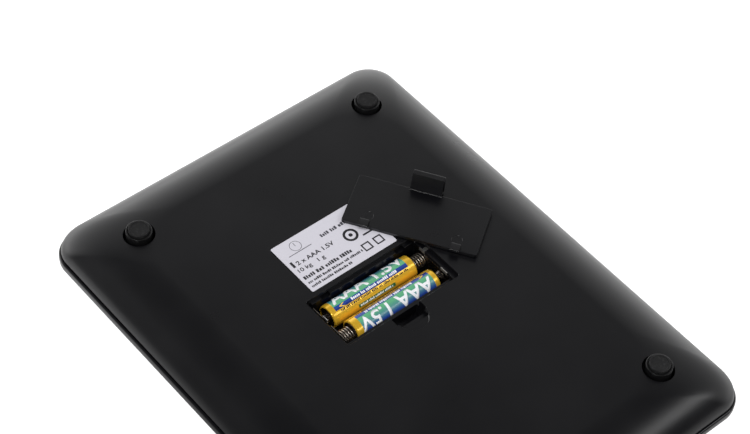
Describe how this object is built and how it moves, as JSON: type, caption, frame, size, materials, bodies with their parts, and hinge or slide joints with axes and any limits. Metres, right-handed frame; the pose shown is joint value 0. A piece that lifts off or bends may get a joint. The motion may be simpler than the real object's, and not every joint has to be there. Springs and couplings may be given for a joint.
{
  "type": "electronic kitchen scale",
  "caption": "Slim electronic scale lying on its glass, underside up, with load-cell feet, an open battery bay and its loose cover.",
  "frame": {"origin": "middle of the weighing glass's outer face, which the scale lies on, as it does when it is turned over to change the batteries", "axes": "+X along the batteries, +Y from the front edge (display end) to the rear edge, +Z out of the underside; turn the part half a turn about Y to stand it on its feet for use"},
  "size_m": [0.176, 0.232, 0.0273],
  "materials": {
    "satin_black_abs": "fine satin moulded surface",
    "inner_black_abs": "plain moulded surface",
    "tempered_glass": "polished glass, printed black on its inner face",
    "black_print": "screen print",
    "foam_tape": "closed-cell foam",
    "foot_rubber": "matt rubber",
    "zinc_plated_steel": "bright zinc plate",
    "nickel_plated_steel": "satin nickel plate",
    "gold_plated_steel": "thin gold flash",
    "battery_wrap": null,
    "label_vinyl": null,
    "circuit_board": "green solder mask",
    "lcd_glass": "polariser film",
    "white_plastic": "plain moulded surface",
    "chip_epoxy": "matt epoxy",
    "red_wire": "PVC insulation",
    "black_wire": "PVC insulation",
    "grey_wire": "PVC insulation"
  },
  "bodies": {
    "casing": {"base_shell": "satin_black_abs", "weighing_glass": "tempered_glass", "bonding_tape": "foam_tape", "display_mask": "black_print", "rating_label": "label_vinyl", "contact_bridge": "nickel_plated_steel", "contact_positive": "nickel_plated_steel", "contact_negative": "nickel_plated_steel", "contact_spring_rear": "nickel_plated_steel", "contact_spring_front": "nickel_plated_steel", "main_board": "circuit_board", "lcd_panel": "lcd_glass", "backlight": "white_plastic", "lcd_holder": "inner_black_abs", "controller_chip": "chip_epoxy", "lead_socket": "white_plastic", "touch_spring_left": "gold_plated_steel", "touch_spring_right": "gold_plated_steel", "battery_lead_positive": "red_wire", "battery_lead_negative": "black_wire", "board_screw_1": "zinc_plated_steel", "board_screw_2": "zinc_plated_steel", "board_screw_3": "zinc_plated_steel", "board_screw_4": "zinc_plated_steel", "load_cell_front_left": "zinc_plated_steel", "cell_carrier_front_left": "inner_black_abs", "cell_lead_front_left": "grey_wire", "load_cell_front_right": "zinc_plated_steel", "cell_carrier_front_right": "inner_black_abs", "cell_lead_front_right": "grey_wire", "load_cell_rear_left": "zinc_plated_steel", "cell_carrier_rear_left": "inner_black_abs", "cell_lead_rear_left": "grey_wire", "load_cell_rear_right": "zinc_plated_steel", "cell_carrier_rear_right": "inner_black_abs", "cell_lead_rear_right": "grey_wire"},
    "cover": {"cover_panel": "satin_black_abs"},
    "latch": {"cover_latch": "satin_black_abs"},
    "rear_battery": {"battery_rear": "battery_wrap"},
    "front_battery": {"battery_front": "battery_wrap"},
    "foot_front_left": {"foot_cup_front_left": "inner_black_abs", "foot_pad_front_left": "foot_rubber"},
    "foot_front_right": {"foot_cup_front_right": "inner_black_abs", "foot_pad_front_right": "foot_rubber"},
    "foot_rear_left": {"foot_cup_rear_left": "inner_black_abs", "foot_pad_rear_left": "foot_rubber"},
    "foot_rear_right": {"foot_cup_rear_right": "inner_black_abs", "foot_pad_rear_right": "foot_rubber"}
  },
  "joints": [
    {"name": "cover_lift", "type": "slide", "parent": "casing", "child": "cover", "axis": [0, 0, 1], "range_m": [0, 0.08]},
    {"name": "latch_press", "type": "hinge", "parent": "cover", "child": "latch", "pos_m": [0.04622, 0.03403, 0.0203], "axis": [0.5446, -0.8387, 0], "range_deg": [0, 8], "stiffness_Nm_per_rad": 0.2},
    {"name": "rear_battery_lift", "type": "slide", "parent": "casing", "child": "rear_battery", "axis": [0, 0, 1], "range_m": [0, 0.03]},
    {"name": "front_battery_lift", "type": "slide", "parent": "casing", "child": "front_battery", "axis": [0, 0, 1], "range_m": [0, 0.03]},
    {"name": "foot_press_front_left", "type": "slide", "parent": "casing", "child": "foot_front_left", "axis": [0, 0, -1], "range_m": [0, 0.0004], "stiffness_N_per_m": 20000},
    {"name": "foot_press_front_right", "type": "slide", "parent": "casing", "child": "foot_front_right", "axis": [0, 0, -1], "range_m": [0, 0.0004], "stiffness_N_per_m": 20000},
    {"name": "foot_press_rear_left", "type": "slide", "parent": "casing", "child": "foot_rear_left", "axis": [0, 0, -1], "range_m": [0, 0.0004], "stiffness_N_per_m": 20000},
    {"name": "foot_press_rear_right", "type": "slide", "parent": "casing", "child": "foot_rear_right", "axis": [0, 0, -1], "range_m": [0, 0.0004], "stiffness_N_per_m": 20000}
  ]
}
